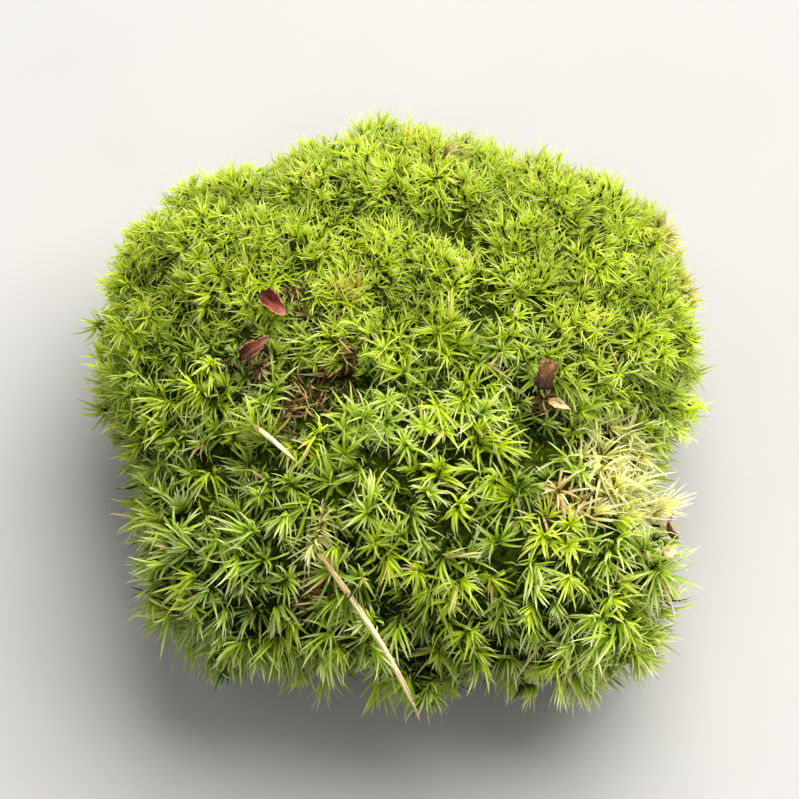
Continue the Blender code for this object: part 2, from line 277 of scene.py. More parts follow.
# The loose pieces: how finely they are made, and the shapes of the scales and flakes.
NEEDLES = ("dry_needle_long", "dry_needle_short")
CAD_NEEDLE_SIDES = 6
NEEDLE_SIDES = (14, 70)
NEEDLE_CURVE = 4
NEEDLE_GROOVE = (0.22, 0.45)
NEEDLE_OVAL = 0.05
NEEDLE_WAVER = 0.035
FLAKE_GRID = (31, 17)
RIB_HEIGHT = 0.05
WIDEST_FLAKE = 1.15
BUD_SHAPE = {"blunt": 2.0, "point": 0.45, "ragged": 0.24, "cup": 1.7, "ribs": 5, "curl": 0.5, "thick": 0.18}
CHIP_SHAPE = {"blunt": 6, "point": 0.35, "ragged": 0.5, "cup": 0.9, "ribs": 4, "curl": 0.2, "thick": 0.35}
HUSK_SHAPE = {"blunt": 1.7, "point": 0.35, "ragged": 0.2, "cup": 0.7, "ribs": 3, "curl": 0.9, "thick": 0.14}

# Each scale's and flake's shape, finish and slot.
FLAKES = {
    "bud_scale_upper": (BUD_SHAPE, "bud scale", "bud_scale"),
    "bud_scale_lower": ({**BUD_SHAPE, "ragged": 0.4}, "old scale", "bud_scale"),
    "bark_flake_brown": (CHIP_SHAPE, "bark", "bark"),
    "husk_flake_pale": (HUSK_SHAPE, "husk", "husk"),
    "bark_flake_edge": (CHIP_SHAPE, "bud scale", "bud_scale"),
    "husk_flake_edge": (HUSK_SHAPE, "husk", "husk"),
}

# Finishes of the loose pieces: how fine their streaks are, roughness, bump, the colour of the worn rim, and
# the colours from the base to the tip.
FINISHES = {
    "dry straw": (9.0, 0.5, 0.5, (226, 206, 150),
                  ((150, 112, 62), (232, 212, 156), (236, 218, 166), (206, 178, 120))),
    "bud scale": (4.5, 0.5, 0.7, (222, 168, 130),
                  ((56, 30, 18), (104, 42, 30), (148, 74, 54), (196, 136, 104))),
    "old scale": (4.5, 0.6, 0.7, (186, 138, 104),
                  ((48, 28, 17), (84, 42, 28), (118, 66, 46), (164, 116, 84))),
    "bark": (6.0, 0.85, 0.9, (52, 32, 18),
             ((34, 20, 10), (62, 38, 20), (100, 66, 36), (156, 116, 68))),
    "husk": (10.0, 0.6, 0.6, (196, 150, 104),
             ((160, 122, 74), (214, 182, 128), (236, 214, 166), (226, 198, 150))),
}
STREAK_BUMP = 0.0002

# Mottled surfaces: their dark and light colour, the size of their patches in metres, roughness, bump and
# specular.
MOTTLED = {
    # Old growth: the colour of old stems, darkened to paint the deep shade between the shoots.
    "old growth": ((16, 22, 2), (56, 68, 8), 0.0012, 1.0, 0.5, 0.0),
    "humus": ((24, 14, 8), (92, 62, 40), 0.0011, 0.95, 0.6, 0.1),
    "floor": ((156, 155, 153), (160, 159, 157), 0.05, 0.9, 0.0, 0.1),
}

# The studio, in metres: the camera at the photograph's angle, the floor, and lights as (place, size, power,
# colour).
CAMERA_ELEVATION = 70.5
CAMERA_DISTANCE = 2.28
FRAME_WIDTH = 0.128
SENSOR_WIDTH = 36.0
LOOK_AT = (0.0005, 0.0, 0.028)
FLOOR_SIZE = 6
LIGHTS = {
    "key": ((0.40, 0.56, 1.0), 1.5, 49.0, (1.0, 0.985, 0.95)),
    "fill": ((-0.8, -0.7, 0.9), 0.9, 3.0, (0.97, 0.98, 1.0)),
}
SKY_COLOUR = (0.96, 0.97, 0.98, 1.0)
SKY_STRENGTH = 0.60


def srgb(colour):
    """A colour of 0 to 255 as the linear numbers that shaders take."""
    shares = np.array(colour) / 255
    return np.where(shares <= 0.04045, shares / 12.92, ((shares + 0.055) / 1.055) ** 2.4)


def smooth(value, low=0.0, high=1.0):
    """0 below low, 1 above high, and a soft step between."""
    share = np.clip((value - low) / (high - low), 0, 1)
    return share * share * (3 - 2 * share)


def unit(vectors):
    return vectors / np.linalg.norm(vectors, axis=-1, keepdims=True)


def sideways(vectors):
    """Unit vectors at right angles to these."""
    helper = np.where(np.abs(vectors[..., 2:3]) < 0.9, UP, np.array([1.0, 0.0, 0.0]))
    return unit(np.cross(vectors, helper))


def round_turns(count):
    """So many even bearings round a full turn."""
    return np.linspace(0, 2 * math.pi, count, endpoint=False)


def any_turns(dice, shape):
    return dice.uniform(0, 2 * math.pi, shape)


def noise_vectors(points, size):
    """Smooth random vectors at these points, which change over about size."""
    return np.array([noise.noise_vector(Vector(point / size)) for point in points])


def noise_values(points, size):
    return np.array([noise.noise(Vector(point / size)) for point in points])


# The cushion's form.

def mesh_corners(node):
    """A CAD node's corners in millimetres, each once."""
    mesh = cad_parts[node].data
    corners = np.zeros(3 * len(mesh.vertices), np.float32)
    mesh.vertices.foreach_get("co", corners)
    return np.unique(np.round(corners.reshape(-1, 3) / MM, 3), axis=0)


def cushion_form():
    """The directions and reaches of the CAD cushion's outer corners, from the mat's top."""
    outward = mesh_corners("moss_cushion") - UP * PAD_HEIGHT
    reaches = np.linalg.norm(outward, axis=1)
    outer = (reaches > INNER_REACH) & (np.abs(outward[:, 2]) > 0.2)
    return unit(outward[outer]), reaches[outer]


FORM_DIRECTIONS, FORM_REACHES = cushion_form()


def form_points(directions):
    """Where the blurred form of the cushion lies in each direction."""
    reaches = []
    narrow = FORM_REACHES.mean() ** 2 / FORM_BLUR**2
    for start in range(0, len(directions), CHUNK):
        turned = directions[start:start + CHUNK] @ FORM_DIRECTIONS.T
        weights = np.exp((turned - 1) * narrow) + 1e-12
        reaches.append(weights @ FORM_REACHES / weights.sum(axis=1))
    return directions * np.concatenate(reaches)[:, None] + UP * PAD_HEIGHT


def form_normals(directions):
    """The form's outward normals."""
    across = sideways(directions)
    along = np.cross(across, directions)
    steps = [form_points(unit(directions + FORM_STEP * step)) for step in (across, -across, along, -along)]
    return unit(np.cross(steps[2] - steps[3], steps[0] - steps[1]))


def coarseness(points):
    """0 where the shoots are fine, 1 where they are coarse."""
    fine_y, coarse_y = COARSE_FROM_Y
    return smooth(-points[:, 1], -fine_y, -coarse_y)


def between(pair, share):
    return pair[0] + (pair[1] - pair[0]) * share


def scatter_directions(dice, spacing, tries, lowest):
    """Random directions whose points on the form are this far apart, as (fine, coarse)."""
    heights = dice.uniform(lowest, 1, tries)
    turns = any_turns(dice, tries)
    rings = np.sqrt(1 - heights**2)
    directions = np.stack([rings * np.cos(turns), rings * np.sin(turns), heights], axis=1)
    points = form_points(directions)
    room = between(spacing, coarseness(points))
    kept = []
    for number, point in enumerate(points):
        if not kept or np.linalg.norm(points[kept] - point, axis=1).min() > room[number]:
            kept.append(number)
    return directions[kept]


# Meshes.

def add_piece(name, shape, surface, slot, *nodes):
    """Makes a piece of (corners in millimetres, triangles, perhaps UVs), in place of these CAD nodes."""
    corners, faces, *uvs = shape
    mesh = bpy.data.meshes.new(name)
    mesh.from_pydata(corners * MM, [], faces, shade_flat=False)
    if uvs:
        layer = mesh.uv_layers.new(name="OFBake")
        layer.data.foreach_set("uv", uvs[0][faces.ravel()].astype(np.float32).ravel())
    mesh.materials.append(surface)
    mesh.validate()
    piece = bpy.data.objects.new(name, mesh)
    bpy.context.scene.collection.objects.link(piece)
    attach(piece, "root")
    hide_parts(*nodes)


def palette_rows(kinds, tones):
    """The palette row of each leaf, from its kind and tone."""
    rows = np.zeros(len(kinds), int)
    for kind, ((first, last), _, _) in KINDS.items():
        span = first + np.round(np.clip(tones, 0, 1) * (last - first)).astype(int)
        rows = np.where(kinds == kind, span, rows)
    return rows


def blade_faces(pieces):
    """Triangles of a folded blade in this many pieces, the last of which is pointed."""
    last = 3 * (pieces - 1)
    piece = (0, 1, 4), (0, 4, 3), (1, 2, 5), (1, 5, 4)
    faces = [np.add(face, start) for start in range(0, last, 3) for face in piece]
    return np.array(faces + [(last, last + 1, last + 3), (last + 1, last + 2, last + 3)])


def quads(*corners):
    """Two triangles for each four corners, given round the four."""
    first, second, third, fourth = (corner.ravel() for corner in corners)
    halves = (first, second, third), (first, third, fourth)
    return np.concatenate([np.stack(half, axis=1) for half in halves])


def leaf_blades(leaves, form=LONG_LEAF):
    """Corners, triangles and UVs of a table of leaves."""
    stations, shape = form["stations"], form["shape"]
    count = len(leaves["start"])
    axis, outward = leaves["axis"], leaves["outward"]
    side = np.cross(axis, outward)
    middle = leaves["start"]
    corners = np.empty((count, 3 * len(shape) + 1, 3))
    for station, along in enumerate(stations[:-1]):
        halfway = (along + stations[station + 1]) / 2
        tilt = (leaves["tilt"] + leaves["bend"] * halfway)[:, None]
        heading = np.cos(tilt) * axis + np.sin(tilt) * outward + (leaves["curl"] * halfway)[:, None] * side
        swept = (halfway + leaves["sweep"] * (1 - halfway))[:, None]
        heading = unit(heading + swept * leaves["comb"] - halfway * leaves["droop"][:, None] * UP)
        upper = unit(np.cross(heading, side))
        across = np.cross(upper, heading)
        roll = leaves["roll"][:, None]
        edge = across * np.cos(roll) + upper * np.sin(roll)
        raised = upper * np.cos(roll) - across * np.sin(roll)
        half = 0.5 * leaves["width"][:, None] * shape[station]
        reach = half * math.cos(LEAF_FOLD) * edge
        lift = half * math.sin(LEAF_FOLD) * raised
        corners[:, 3 * station] = middle - reach + lift
        corners[:, 3 * station + 1] = middle
        corners[:, 3 * station + 2] = middle + reach + lift
        middle = middle + heading * (leaves["length"] * (stations[station + 1] - along))[:, None]
    corners[:, -1] = middle
    faces = blade_faces(len(shape))[None] + np.arange(count)[:, None, None] * corners.shape[1]
    uvs = np.empty((*corners.shape[:2], 2))
    uvs[:, :, 0] = np.append(np.repeat(stations[:-1], 3), 1.0)
    uvs[:, :, 1] = (leaves["row"][:, None] + np.append(LEAF_LANES * len(shape), 0.5)) / ROWS
    return corners.reshape(-1, 3), faces.reshape(-1, 3), uvs.reshape(-1, 2)


def tubes(paths, girths, rows, sides=4):
    """Corners, triangles and UVs of tubes along paths, with a half width at each point."""
    count, stations = paths.shape[:2]
    heading = unit(np.gradient(paths, axis=1))
    across = sideways(heading)
    upper = np.cross(heading, across)
    turns = round_turns(sides)
    ring = np.cos(turns)[:, None] * across[:, :, None] + np.sin(turns)[:, None] * upper[:, :, None]
    corners = paths[:, :, None] + girths[..., None, None] * ring
    grid = np.arange(count * stations * sides).reshape(count, stations, sides)
    near, far = grid[:, :-1], grid[:, 1:]
    after_near, after_far = np.roll(near, -1, axis=2), np.roll(far, -1, axis=2)
    faces = quads(near, after_near, after_far, far)
    uvs = np.empty((count, stations, sides, 2))
    uvs[..., 0] = np.linspace(0, 1, stations)[None, :, None]
    uvs[..., 1] = (rows[:, None, None] + 0.1 + 0.8 * np.arange(sides) / (sides - 1)) / ROWS
    return corners.reshape(-1, 3), faces, uvs.reshape(-1, 2)


def join(parts):
    """Several (corners, triangles, uvs) as one."""
    before = np.cumsum([0] + [len(part[0]) for part in parts[:-1]])
    corners = np.concatenate([part[0] for part in parts])
    faces = np.concatenate([part[1] + start for part, start in zip(parts, before)])
    return corners, faces, np.concatenate([part[2] for part in parts])


# Materials.

def node(tree, kind, inputs=None, **settings):
    """Adds a node. Inputs are numbers, colours or the sockets that feed it."""
    made = tree.nodes.new(kind)
    for name, value in settings.items():
        setattr(made, name, value)
    for key, value in (inputs or {}).items():
        if isinstance(value, bpy.types.NodeSocket):
            tree.links.new(value, made.inputs[key])
        else:
            made.inputs[key].default_value = value
    return made


def calculate(tree, operation, first, second=0.0):
    return node(tree, "ShaderNodeMath", {0: first, 1: second}, operation=operation).outputs[0]


def blend_colours(tree, share, first, second, mode="MIX"):
    made = node(tree, "ShaderNodeMix", {0: share, 6: first, 7: second}, data_type="RGBA", blend_type=mode)
    return made.outputs[2]


def soft_step(tree, value, low, high, start=0.0, end=1.0):
    inputs = {0: value, 1: low, 2: high, 3: start, 4: end}
    return node(tree, "ShaderNodeMapRange", inputs, interpolation_type="SMOOTHSTEP").outputs[0]


def ramp(tree, value, stops):
    """A colour ramp of (position, linear colour) stops."""
    made = node(tree, "ShaderNodeValToRGB", {0: value})
    elements = made.color_ramp.elements
    while len(elements) < len(stops):
        elements.new(0.5)
    for element, (position, colour) in zip(elements, stops):
        element.position = position
        element.color = (*colour, 1.0)
    return made.outputs[0]


def new_material(name):
    """A material with its node tree, its Principled shader and its output."""
    made = bpy.data.materials.new(name)
    made.use_nodes = True
    tree = made.node_tree
    return made, tree, tree.nodes["Principled BSDF"], tree.nodes["Material Output"]


def kind_ramp(tree, row_place, part):
    """The colour of a leaf's base, middle or tip, by its palette row."""
    stops = []
    for rows, brights, colours in KINDS.values():
        colour = srgb(colours[part])
        for row, bright in zip(rows, brights):
            # Darker rows get the painted shade tint.
            stops.append(((row + 0.5) / ROWS, np.clip(colour * bright**PAINTED_SHADE_TINT, 0, 1)))
    return ramp(tree, row_place, stops)


def noise_pattern(tree, place, scale, detail):
    """Soft noise from 0 to 1."""
    return node(tree, "ShaderNodeTexNoise", {"Vector": place, "Scale": scale, "Detail": detail}).outputs[0]


def give_surface(tree, shader, colour, roughness, specular):
    tree.links.new(colour, shader.inputs["Base Color"])
    shader.inputs["Roughness"].default_value = roughness
    shader.inputs["Specular IOR Level"].default_value = specular


def give_relief(tree, shader, height, strength, distance):
    relief = node(tree, "ShaderNodeBump", {"Height": height, "Strength": strength, "Distance": distance})
    tree.links.new(relief.outputs[0], shader.inputs["Normal"])


def leaf_material():
    """Moss leaves: darker at the base, pale at the tip, with light that shines through."""
    made, tree, shader, output = new_material("moss leaf")
    place = node(tree, "ShaderNodeUVMap", uv_map="OFBake").outputs[0]
    parts = node(tree, "ShaderNodeSeparateXYZ", {0: place}).outputs
    along = parts[0]
    row_number = calculate(tree, "MULTIPLY", parts[1], ROWS)
    row = calculate(tree, "FLOOR", row_number)
    across = calculate(tree, "FRACT", row_number)
    row_place = calculate(tree, "DIVIDE", calculate(tree, "ADD", row, 0.5), ROWS)
    base, middle, tip = (kind_ramp(tree, row_place, part) for part in range(3))
    lower = blend_colours(tree, soft_step(tree, along, 0.0, 0.4), base, middle)
    whole = blend_colours(tree, soft_step(tree, along, 0.4, 0.95), lower, tip)
    from_rib = calculate(tree, "ABSOLUTE", calculate(tree, "SUBTRACT", across, 0.5))
    shade = soft_step(tree, from_rib, 0.05, 0.4, 1.0, 0.86)
    streak_place = node(tree, "ShaderNodeCombineXYZ", {0: along, 1: row, 2: across}).outputs[0]
    streaks = noise_pattern(tree, streak_place, 2.7, 2.0)
    shade = calculate(tree, "MULTIPLY", shade, soft_step(tree, streaks, 0.3, 0.7, 0.88, 1.08))
    colour = blend_colours(tree, 1.0, whole, shade, "MULTIPLY")
    give_surface(tree, shader, colour, LEAF_ROUGHNESS, LEAF_SPECULAR)
    glow = node(tree, "ShaderNodeBsdfTranslucent", {"Color": colour}).outputs[0]
    both = node(tree, "ShaderNodeMixShader", {0: LEAF_GLOW, 1: shader.outputs[0], 2: glow}).outputs[0]
    tree.links.new(both, output.inputs["Surface"])
    return made


def mottled_material(name):
    """A matte surface of two colours in uneven patches, with bump."""
    dark, light, size, roughness, bump, specular = MOTTLED[name]
    made, tree, shader, _ = new_material(name)
    place = node(tree, "ShaderNodeTexCoord").outputs["Object"]
    patches = noise_pattern(tree, place, 1 / size, 6.0)
    colour = ramp(tree, patches, [(0.32, srgb(dark)), (0.68, srgb(light))])
    give_surface(tree, shader, colour, roughness, specular)
    give_relief(tree, shader, patches, bump, size)
    return made


def stretched_noise(tree, place, stretch, detail):
    """Soft noise over a UV map, finer by these factors along it and across it."""
    inputs = {0: place, 1: (*stretch, 1.0)}
    stretched = node(tree, "ShaderNodeVectorMath", inputs, operation="MULTIPLY")
    return noise_pattern(tree, stretched.outputs[0], 1.0, detail)


def streaked_material(name, streaks, roughness, bump, rim, colours):
    """A dry plant surface of these colours along it, with a worn rim, streaks and spots."""
    made, tree, shader, _ = new_material(name)
    place = node(tree, "ShaderNodeUVMap", uv_map="OFBake").outputs[0]
    parts = node(tree, "ShaderNodeSeparateXYZ", {0: place}).outputs
    last = len(colours) - 1
    along = ramp(tree, parts[0], [(number / last, srgb(colour)) for number, colour in enumerate(colours)])
    lines = stretched_noise(tree, place, (3.0, streaks), 4.0)
    spots = stretched_noise(tree, place, (14.0, 5.0), 3.0)
    shade = soft_step(tree, lines, 0.32, 0.68, 0.45, 1.3)
    shade = calculate(tree, "MULTIPLY", shade, soft_step(tree, spots, 0.32, 0.46, 0.6, 1.0))
    across = calculate(tree, "ABSOLUTE", calculate(tree, "SUBTRACT", parts[1], 0.5))
    near_rim = soft_step(tree, across, 0.38, 0.5, 0.0, 0.9)
    worn = calculate(tree, "MULTIPLY", near_rim, soft_step(tree, spots, 0.4, 0.6))
    edged = blend_colours(tree, worn, along, (*srgb(rim), 1.0))
    give_surface(tree, shader, blend_colours(tree, 1.0, edged, shade, "MULTIPLY"), roughness, 0.2)
    give_relief(tree, shader, lines, bump, STREAK_BUMP)
    return made


# Living shoots.

def near_spots(points, spots):
    """How near each point is to one of these spots in plan, from 0 to 1."""
    share = np.zeros(len(points))
    for x, y, radius in spots:
        away = np.hypot(points[:, 0] - x, points[:, 1] - y) / radius
        share = np.maximum(share, np.exp(-away**2))
    return share


def painted_light_at(points):
    """How much painted light brightens the shoots at these points, or painted shade darkens them below 0."""
    return sum(change * near_spots(points, [(x, y, radius)]) for x, y, radius, change in PAINTED_LIGHT_AND_SHADE)


def meet_loose_pieces(points, normals, height):
    """The height of each shoot, changed near a loose piece so that its leaves meet the piece."""
    beside, rim_leaves = CARRY_BESIDE
    for name in (*FLAKES, *NEEDLES):
        corners = mesh_corners(name)
        for number, (point, normal) in enumerate(zip(points, normals)):
            reach = corners - point
            above = reach @ normal
            aside = np.linalg.norm(reach - above[:, None] * normal, axis=1)
            if aside.min() < CARRY_REACH:
                under = above[aside < aside.min() + CARRY_STRIP].min()
                leaves = rim_leaves if name in FLAKES and aside.min() > beside else CARRY_LEAVES
                share = 1 - smooth(aside.min(), WHOLE_WITHIN * CARRY_REACH, CARRY_REACH)
                height[number] += share * (np.clip(under - leaves, *CARRY_LIMITS) - height[number])
    return height


def near_flakes(points):
    """How near each point is to a scale or flake, from 0 to 1."""
    middles = np.array([mesh_corners(name).mean(axis=0) for name in FLAKES])
    away = np.linalg.norm(points[:, None] - middles, axis=2).min(axis=1)
    return 1 - smooth(away, WHOLE_WITHIN * FLAKE_ROOM[0], FLAKE_ROOM[0])


def shoot_heights(points, normals, coarse, from_mound, in_gap, dice):
    """How high each shoot's tip stands over the form: less down a mound or in a gap."""
    height = SHOOT_VARIETY * dice.uniform(-1, 1, len(points)) * between(VARIETY_SHARE, coarse)
    height += MOUND_RISE - between(SHOOT_SINK, coarse) - MOUND_DROP * np.sum(from_mound**2, axis=1)
    height -= GAP_DEPTH * smooth(in_gap, *GAP_SINKS)
    return meet_loose_pieces(points, normals, height)


def shoot_kinds(points, coarse, in_gap, dice):
    # Coarse shoots, and those in gaps, are more often silver, with painted glints on their tips.
    kinds = np.where(coarse > dice.uniform(*SILVER_GLINT_FROM, len(points)), "silver", "green").astype("<U8")
    kinds[in_gap > IN_GAP] = "silver"
    for kind, spots in SPOTS.items():
        kinds[near_spots(points, spots) > dice.uniform(*SPOT_EDGES[kind], len(points))] = kind
    return kinds


def shoot_tones(points, coarse, from_mound, in_gap, dice):
    """How bright each shoot is: painted light brightens the back, and painted shade darkens it down a mound
    and in a gap.
    """
    patch_size, patch_amount = TONE_PATCHES
    tones = TONE + patch_amount * noise_values(points, patch_size)
    tones += between(TONE_OWN, coarse) * dice.normal(size=len(points))
    # Painted light brightens shoots to the back; painted shade darkens them down a mound and in gaps.
    tones += PAINTED_LIGHT_TO_BACK * points[:, 1] - MOUND_PAINTED_SHADE * np.sum(from_mound**2, axis=1)
    return tones + painted_light_at(points) - GAP_PAINTED_SHADE * smooth(in_gap, *GAP_DARKENS)


def shoot_table(dice):
    """Every shoot, with its direction at its tip and at its root."""
    directions = scatter_directions(dice, SHOOT_SPACING, SHOOT_TRIES, LOWEST_SHOOT)
    points = form_points(directions)
    normals = form_normals(directions)
    count = len(points)
    coarse = coarseness(points)
    lean_size, lean_amount = LEAN
    rising = normals * (1 - RISE_SHARE) + UP * RISE_SHARE
    rising += lean_amount * noise_vectors(points, lean_size)
    mounds = form_points(scatter_directions(dice, (MOUND_SPACING, MOUND_SPACING), MOUND_TRIES, 0.0))
    nearest = mounds[np.linalg.norm(points[:, None] - mounds, axis=2).argmin(axis=1)]
    from_mound = points - nearest
    sway = between(SWAY, coarse)[:, None] * dice.normal(size=(count, 3))
    rising = unit(rising + MOUND_SPLAY * from_mound + sway)
    in_gap = near_spots(points, GAPS)
    height = shoot_heights(points, normals, coarse, from_mound, in_gap, dice)
    kinds = shoot_kinds(points, coarse, in_gap, dice)
    comb_size, comb_shared, comb_own = COMB
    comb = comb_shared * noise_vectors(points, comb_size) + comb_own * dice.normal(size=(count, 3))
    comb += FLOW * coarse[:, None] * normals * np.array([1, 1, 0])
    sizes = dice.uniform(between(SMALLEST_SHOOT, coarse), between(LARGEST_SHOOT, coarse))
    sizes *= 1 - FLAKE_ROOM[1] * near_flakes(points)
    sizes *= 1 - GAP_ROOM * smooth(in_gap, *GAP_SHRINKS)
    sizes *= np.where(kinds == "pale", PALE_SIZE, 1.0)
    tones = shoot_tones(points, coarse, from_mound, in_gap, dice)
    return {
        "tip": points + normals * height[:, None],
        "rising": rising,
        "root": unit(normals + ROOT_SWAY * dice.normal(size=(count, 3))),
        "kind": kinds,
        "tone": tones,
        "withered": noise_values(points + WITHERED_SHIFT, WITHERED_SIZE),
        "comb": comb,
        "size": sizes,
        "open": dice.normal(1.0, OPEN_VARIETY, count) * between(OPENNESS, coarse),
        "coarse": coarse,
        "turn": any_turns(dice, count),
    }


def leaf_kinds(of_shoot, down, dice):
    """Each leaf's kind: its shoot's, but young in the bud, old at the foot, and some dead."""
    coarse, kinds = of_shoot["coarse"], of_shoot["kind"].copy()
    living = np.isin(kinds, LIVING)
    kinds[living & (down < between(YOUNG_TO, coarse))] = "young"
    kinds[living & (down > dice.uniform(*OLD_FROM, len(down)) + OLD_LATER * (1 - coarse))] = "old"
    dead = DEAD_SHARE * (DEAD_BELOW + down) * (1 + WITHERED_MORE * of_shoot["withered"])
    kinds[living & (dice.uniform(0, 1, len(down)) < dead)] = "tan"
    for kind, shares in MIXED.items():
        dying = of_shoot["kind"] == kind
        kinds[dying] = dice.choice(list(shares), dying.sum(), p=list(shares.values()))
    return kinds


def leaf_table(shoots, dice):
    """The leaves of these shoots, from the bud at each tip down to the old ones below."""
    counts = np.round(between(LEAF_COUNT, shoots["coarse"])).astype(int)
    number = np.concatenate([np.arange(count) for count in counts])
    down = (number + 0.5) / np.repeat(counts, counts)
    of_shoot = {key: np.repeat(value, counts, axis=0) for key, value in shoots.items()}
    coarse, total = of_shoot["coarse"], len(down)
    bud = smooth(down, 0.0, BUD_END)
    closed, upper, lower = LEAF_SPREAD
    spread = of_shoot["open"] * (closed + upper * smooth(down, 0.0, 0.5) + lower * smooth(down, 0.5, 1.0))
    straight, crowded, crowding = LEAF_RUN
    run = (SHOOT_LENGTH * of_shoot["size"] * (straight * down + crowded * down**crowding))[:, None]
    drop = of_shoot["rising"] * (1 - 0.5 * down[:, None]) + of_shoot["root"] * 0.5 * down[:, None]
    axis = unit(of_shoot["rising"] * (1 - down[:, None]) + of_shoot["root"] * down[:, None])
    turn = of_shoot["turn"] + number * GOLDEN_TURN + dice.normal(0, VARIETY["turn"], total)
    across = sideways(axis)
    outward = np.cos(turn)[:, None] * across + np.sin(turn)[:, None] * np.cross(axis, across)
    size = of_shoot["size"] * dice.uniform(*LEAF_SIZES, total) * between((BUD_LENGTH, 1.0), bud)
    foot_share, foot_from, foot_to = FOOT_SHRINKS
    size *= 1 - foot_share * smooth(down, foot_from, foot_to)
    kinds = leaf_kinds(of_shoot, down, dice)
    tones = of_shoot["tone"] + dice.normal(0, VARIETY["tone"], total)
    # Painted shade: leaves darken towards the foot of their shoot.
    tones -= between(FOOT_PAINTED_SHADE, coarse) * smooth(down, *FOOT_DARKENS)
    return {
        "start": of_shoot["tip"] - run * drop,
        "axis": axis,
        "outward": outward,
        "tilt": spread + dice.normal(0, VARIETY["tilt"], total),
        "bend": between(LEAF_BEND, coarse) + dice.normal(0, VARIETY["bend"], total),
        "curl": dice.normal(0, VARIETY["curl"], total),
        "comb": of_shoot["comb"],
        "sweep": SWEEP * coarse,
        "droop": between(LEAF_DROOP, coarse),
        "roll": dice.normal(0, VARIETY["roll"], total),
        "length": between(LEAF_LENGTH, coarse) * size,
        "width": between(LEAF_WIDTH, coarse) * dice.uniform(*WIDTHS, total) * between((BUD_WIDTH, 1.0), bud),
        "row": palette_rows(kinds, tones),
    }


def clear_of_flakes(leaves, form):
    """These leaves without the ones that would run through a scale or flake."""
    corners = leaf_blades(leaves, form)[0].reshape(len(leaves["start"]), -1, 3)
    lines = np.concatenate([corners[:, 1:-1:3], corners[:, -1:]], axis=1)
    clear = np.ones(len(lines), bool)
    for name in FLAKES:
        shape = mesh_corners(name)
        middle, along, across, upward = long_axis(shape)
        reach, aside, above = ((lines - middle) @ direction for direction in (along, across, upward))
        inside = np.abs(reach) < np.ptp(shape @ along) / 2 + FLAKE_MARGIN
        inside &= np.abs(aside) < np.ptp(shape @ across) / 2 + FLAKE_MARGIN
        crosses = above[:, :-1] * above[:, 1:] < 0
        clear &= ~np.any(crosses & (inside[:, :-1] | inside[:, 1:]), axis=1)
    return {key: value[clear] for key, value in leaves.items()}


def stem_tubes(shoots):
    """The shoots' stems, under their leaves."""
    down = np.linspace(*STEM_REACH, 5)[None, :, None]
    tip, rising, root = (shoots[key][:, None] for key in ("tip", "rising", "root"))
    paths = tip - SHOOT_LENGTH * down * (rising * (1 - 0.5 * down) + root * 0.5 * down)
    girths = np.full(paths.shape[:2], STEM_GIRTH)
    rows = palette_rows(np.full(len(paths), "stem"), np.random.default_rng(SEED).uniform(0, 1, len(paths)))
    return tubes(paths, girths, rows)


def even_shares(order, work, count):
    """This order of shoots cut into so many shares of about as much work each."""
    done = np.cumsum(work[order])
    return np.split(order, np.searchsorted(done, done[-1] * np.arange(1, count) / count))


def share_out(shoots, directions):
    """Names of the cushion's parts with the shoots in each, for meshes of about one size."""
    long_work, short_work = (len(blade_faces(len(form["shape"]))) for form in (LONG_LEAF, SHORT_LEAF))
    work = np.where(shoots["coarse"] > LONG_FROM, long_work, short_work)
    work = work * between(LEAF_COUNT, shoots["coarse"])
    crown, *others = even_shares(np.argsort(-directions[:, 2]), work, 5)
    rest = np.concatenate(others)
    bearings = np.degrees(np.arctan2(directions[rest, 1], directions[rest, 0]))
    rest = rest[np.argsort((bearings + 135) % 360)]
    return {"crown": crown, **dict(zip(("front", "right", "back", "left"), even_shares(rest, work, 4)))}


def moss_shoots(surface):
    """The living moss, in five pieces of one growth."""
    dice = np.random.default_rng(SEED)
    shoots = shoot_table(dice)
    directions = unit(shoots["tip"] - UP * PAD_HEIGHT)
    for name, numbers in share_out(shoots, directions).items():
        parts = []
        is_long = shoots["coarse"][numbers] > LONG_FROM
        for form, chosen in ((LONG_LEAF, numbers[is_long]), (SHORT_LEAF, numbers[~is_long])):
            some = {key: value[chosen] for key, value in shoots.items()}
            if len(chosen):
                leaves = clear_of_flakes(leaf_table(some, dice), form)
                parts += [leaf_blades(leaves, form), stem_tubes(some)]
        add_piece(f"moss_shoots_{name}", join(parts), surface, "moss", "moss_cushion")


def loose_blades(leaves):
    """Short leaves that are neither combed nor drooping."""
    count = len(leaves["start"])
    still = {"comb": np.zeros((count, 3)), "sweep": np.zeros(count), "droop": np.zeros(count)}
    return leaf_blades({**leaves, **still}, SHORT_LEAF)


def spread_out(spreads, count, dice):
    """A random number for each leaf under each name, from its (mean, spread)."""
    return {name: dice.normal(*spread, count) for name, spread in spreads.items()}


def dead_leaves(points, normals, standing, depth, kinds, tones, dice):
    """Leaves scattered under these points, lying flat or standing up by this share."""
    count = len(points)
    across = sideways(normals)
    turn = any_turns(dice, (count, 1))
    flat = np.cos(turn) * across + np.sin(turn) * np.cross(normals, across)
    axis = unit(flat + standing * normals + LOOSE_WANDER * dice.normal(size=(count, 3)))
    return loose_blades({
        "start": points - normals * depth[:, None] - (1 - standing) * axis,
        "axis": axis,
        "outward": unit(np.cross(np.cross(axis, normals), axis)),
        **spread_out(LOOSE_SPREADS, count, dice),
        "length": dice.uniform(*LOOSE_LENGTH, count),
        "width": dice.uniform(*LOOSE_WIDTH, count),
        "row": palette_rows(kinds, tones),
    })


def lumps(points, layers):
    """Soft lumps at these points, from layers of (size, amount)."""
    return sum(amount * noise_values(points, size) for size, amount in layers)


def old_depth(points):
    """How deep the old growth lies below the form at these points."""
    return between(OLD_DEPTH, coarseness(points)) + lumps(points, OLD_LUMPS)


